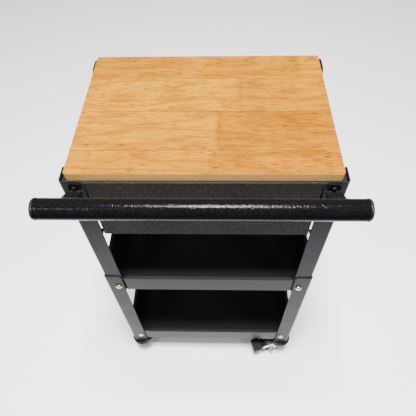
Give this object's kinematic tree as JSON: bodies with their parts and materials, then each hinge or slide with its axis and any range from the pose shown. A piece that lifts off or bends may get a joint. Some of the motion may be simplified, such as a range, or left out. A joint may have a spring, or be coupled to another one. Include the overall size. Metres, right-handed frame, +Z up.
{
  "type": "butcher block table",
  "caption": "Rolling worktable: a butcher block top on a folded black steel frame with shelves, a round push handle along the front and swivel casters.",
  "frame": {"origin": "middle of the footprint on the floor, push handle included", "axes": "+Z up from the floor; X along the push handle; -Y towards the push handle; the worktop faces +Z"},
  "size_m": [0.485, 0.4394, 0.9009],
  "materials": {
    "bracket_black": "glossy black paint",
    "cap_plastic": "moulded black",
    "caster_cup": "black",
    "fork_zinc": "pressed and zinc plated",
    "hub_plastic": "moulded black",
    "leg_black": "satin black powder coat",
    "pan_black": "fine textured black powder coat",
    "pedal_plastic": "moulded black",
    "shelf_black": "glossy black powder coat",
    "steel_balls": "polished",
    "tube_black": "glossy wrinkled black paint",
    "tyre": "smooth black rubber",
    "wood": "satin oiled rubberwood",
    "zinc_bright": "bright zinc plated",
    "zinc_yellow": "yellow zinc plated"
  },
  "bodies": {
    "frame": {"butcher_block_top": "wood", "top_pan": "pan_black", "middle_shelf": "shelf_black", "bottom_shelf": "shelf_black", "handle_tube": "tube_black", "handle_cap_left": "cap_plastic", "handle_cap_right": "cap_plastic", "handle_bracket_left": "bracket_black", "handle_bracket_right": "bracket_black", "frame_bolts": "zinc_yellow", "bracket_bolts": "bracket_black", "frame_nuts": "zinc_yellow", "bracket_nuts": "zinc_yellow", "saddle_screws": "zinc_yellow", "deck_screws": "zinc_yellow", "stem_nuts": "zinc_bright", "foot_plates": "leg_black", "upper_leg_front_left": "leg_black", "lower_leg_front_left": "leg_black", "caster_head_front_left": "caster_cup", "upper_leg_front_right": "leg_black", "lower_leg_front_right": "leg_black", "caster_head_front_right": "caster_cup", "upper_leg_rear_left": "leg_black", "lower_leg_rear_left": "leg_black", "caster_head_rear_left": "caster_cup", "upper_leg_rear_right": "leg_black", "lower_leg_rear_right": "leg_black", "caster_head_rear_right": "caster_cup"},
    "caster_front_left": {"fork_front_left": "fork_zinc", "axle_bolt_front_left": "zinc_bright", "axle_nut_front_left": "zinc_bright", "swivel_balls_front_left": "steel_balls", "pedal_pin_front_left": "zinc_bright"},
    "wheel_front_left": {"wheel_hub_front_left": "hub_plastic", "tyre_front_left": "tyre"},
    "pedal_front_left": {"brake_pedal_front_left": "pedal_plastic"},
    "caster_front_right": {"fork_front_right": "fork_zinc", "axle_bolt_front_right": "zinc_bright", "axle_nut_front_right": "zinc_bright", "swivel_balls_front_right": "steel_balls", "pedal_pin_front_right": "zinc_bright"},
    "wheel_front_right": {"wheel_hub_front_right": "hub_plastic", "tyre_front_right": "tyre"},
    "pedal_front_right": {"brake_pedal_front_right": "pedal_plastic"},
    "caster_rear_left": {"fork_rear_left": "fork_zinc", "axle_bolt_rear_left": "zinc_bright", "axle_nut_rear_left": "zinc_bright", "swivel_balls_rear_left": "steel_balls"},
    "wheel_rear_left": {"wheel_hub_rear_left": "hub_plastic", "tyre_rear_left": "tyre"},
    "caster_rear_right": {"fork_rear_right": "fork_zinc", "axle_bolt_rear_right": "zinc_bright", "axle_nut_rear_right": "zinc_bright", "swivel_balls_rear_right": "steel_balls"},
    "wheel_rear_right": {"wheel_hub_rear_right": "hub_plastic", "tyre_rear_right": "tyre"}
  },
  "joints": [
    {"name": "swivel_front_left", "type": "hinge", "parent": "frame", "child": "caster_front_left", "pos_m": [-0.2125, -0.1, 0.07], "axis": [0, 0, 1], "continuous": true},
    {"name": "roll_front_left", "type": "hinge", "parent": "caster_front_left", "child": "wheel_front_left", "pos_m": [-0.21494, -0.07211, 0.03], "axis": [-0.9962, -0.0872, 0], "continuous": true},
    {"name": "brake_front_left", "type": "hinge", "parent": "caster_front_left", "child": "pedal_front_left", "pos_m": [-0.21721, -0.04621, 0.056], "axis": [-0.9962, -0.0872, 0], "range_deg": [0, 15]},
    {"name": "swivel_front_right", "type": "hinge", "parent": "frame", "child": "caster_front_right", "pos_m": [0.2125, -0.1, 0.07], "axis": [0, 0, 1], "continuous": true},
    {"name": "roll_front_right", "type": "hinge", "parent": "caster_front_right", "child": "wheel_front_right", "pos_m": [0.18558, -0.10772, 0.03], "axis": [0.2756, -0.9613, 0], "continuous": true},
    {"name": "brake_front_right", "type": "hinge", "parent": "caster_front_right", "child": "pedal_front_right", "pos_m": [0.16059, -0.11488, 0.056], "axis": [0.2756, -0.9613, 0], "range_deg": [0, 15]},
    {"name": "swivel_rear_left", "type": "hinge", "parent": "frame", "child": "caster_rear_left", "pos_m": [-0.2125, 0.19, 0.07], "axis": [0, 0, 1], "continuous": true},
    {"name": "roll_rear_left", "type": "hinge", "parent": "caster_rear_left", "child": "wheel_rear_left", "pos_m": [-0.20525, 0.16295, 0.03], "axis": [0.9659, 0.2588, 0], "continuous": true},
    {"name": "swivel_rear_right", "type": "hinge", "parent": "frame", "child": "caster_rear_right", "pos_m": [0.2125, 0.19, 0.07], "axis": [0, 0, 1], "continuous": true},
    {"name": "roll_rear_right", "type": "hinge", "parent": "caster_rear_right", "child": "wheel_rear_right", "pos_m": [0.20201, 0.16404, 0.03], "axis": [0.9272, -0.3746, 0], "continuous": true}
  ]
}
